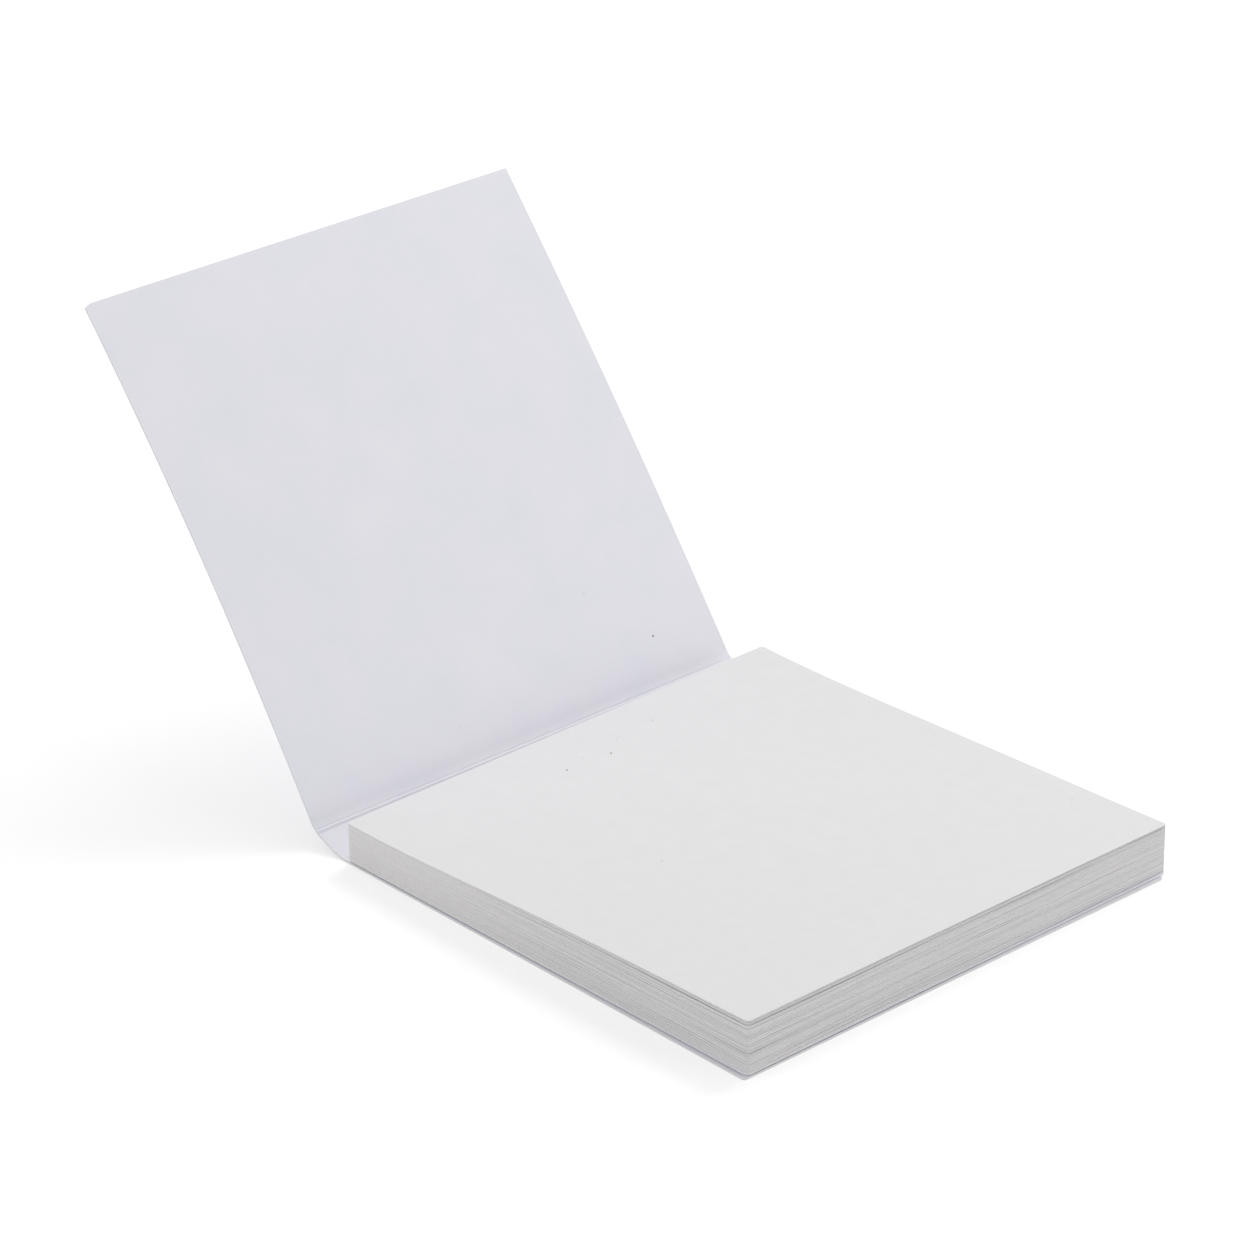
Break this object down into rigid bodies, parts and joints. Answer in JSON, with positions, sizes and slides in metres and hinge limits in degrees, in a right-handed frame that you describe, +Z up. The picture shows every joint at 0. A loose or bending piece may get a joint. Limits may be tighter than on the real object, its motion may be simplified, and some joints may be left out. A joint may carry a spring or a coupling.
{
  "type": "sticky note pad",
  "caption": "Square pad of plain sticky notes in a white soft card cover that stands open, hinged by two creases along a narrow spine.",
  "frame": {"origin": "underside of the back cover, below the middle of the notes' nominal square", "axes": "+Z up from the surface the pad lies on, +Y along the spine, +X from the spine to the free edges of the notes"},
  "size_m": [0.1281, 0.0758, 0.0629],
  "materials": {
    "note_paper": "uncoated matt note paper",
    "backing_card": "coated, smooth",
    "dry_glue": "dried clear glue",
    "cover_card": "coated white card, satin"
  },
  "bodies": {
    "pad": {"note_block": "note_paper", "backing_sheet": "backing_card", "glue_strip": "dry_glue", "back_cover": "cover_card"},
    "spine_panel": {"spine": "cover_card"},
    "flap": {"front_cover": "cover_card"}
  },
  "joints": [
    {"name": "spine_crease", "type": "hinge", "parent": "pad", "child": "spine_panel", "pos_m": [-0.0381, 0, 0.00015], "axis": [0, 1, 0], "range_deg": [-19.6, 70.4]},
    {"name": "cover_crease", "type": "hinge", "parent": "spine_panel", "child": "flap", "pos_m": [-0.04403, 0, 0.00226], "axis": [0, 1, 0], "range_deg": [-32.8, 51.8]}
  ]
}
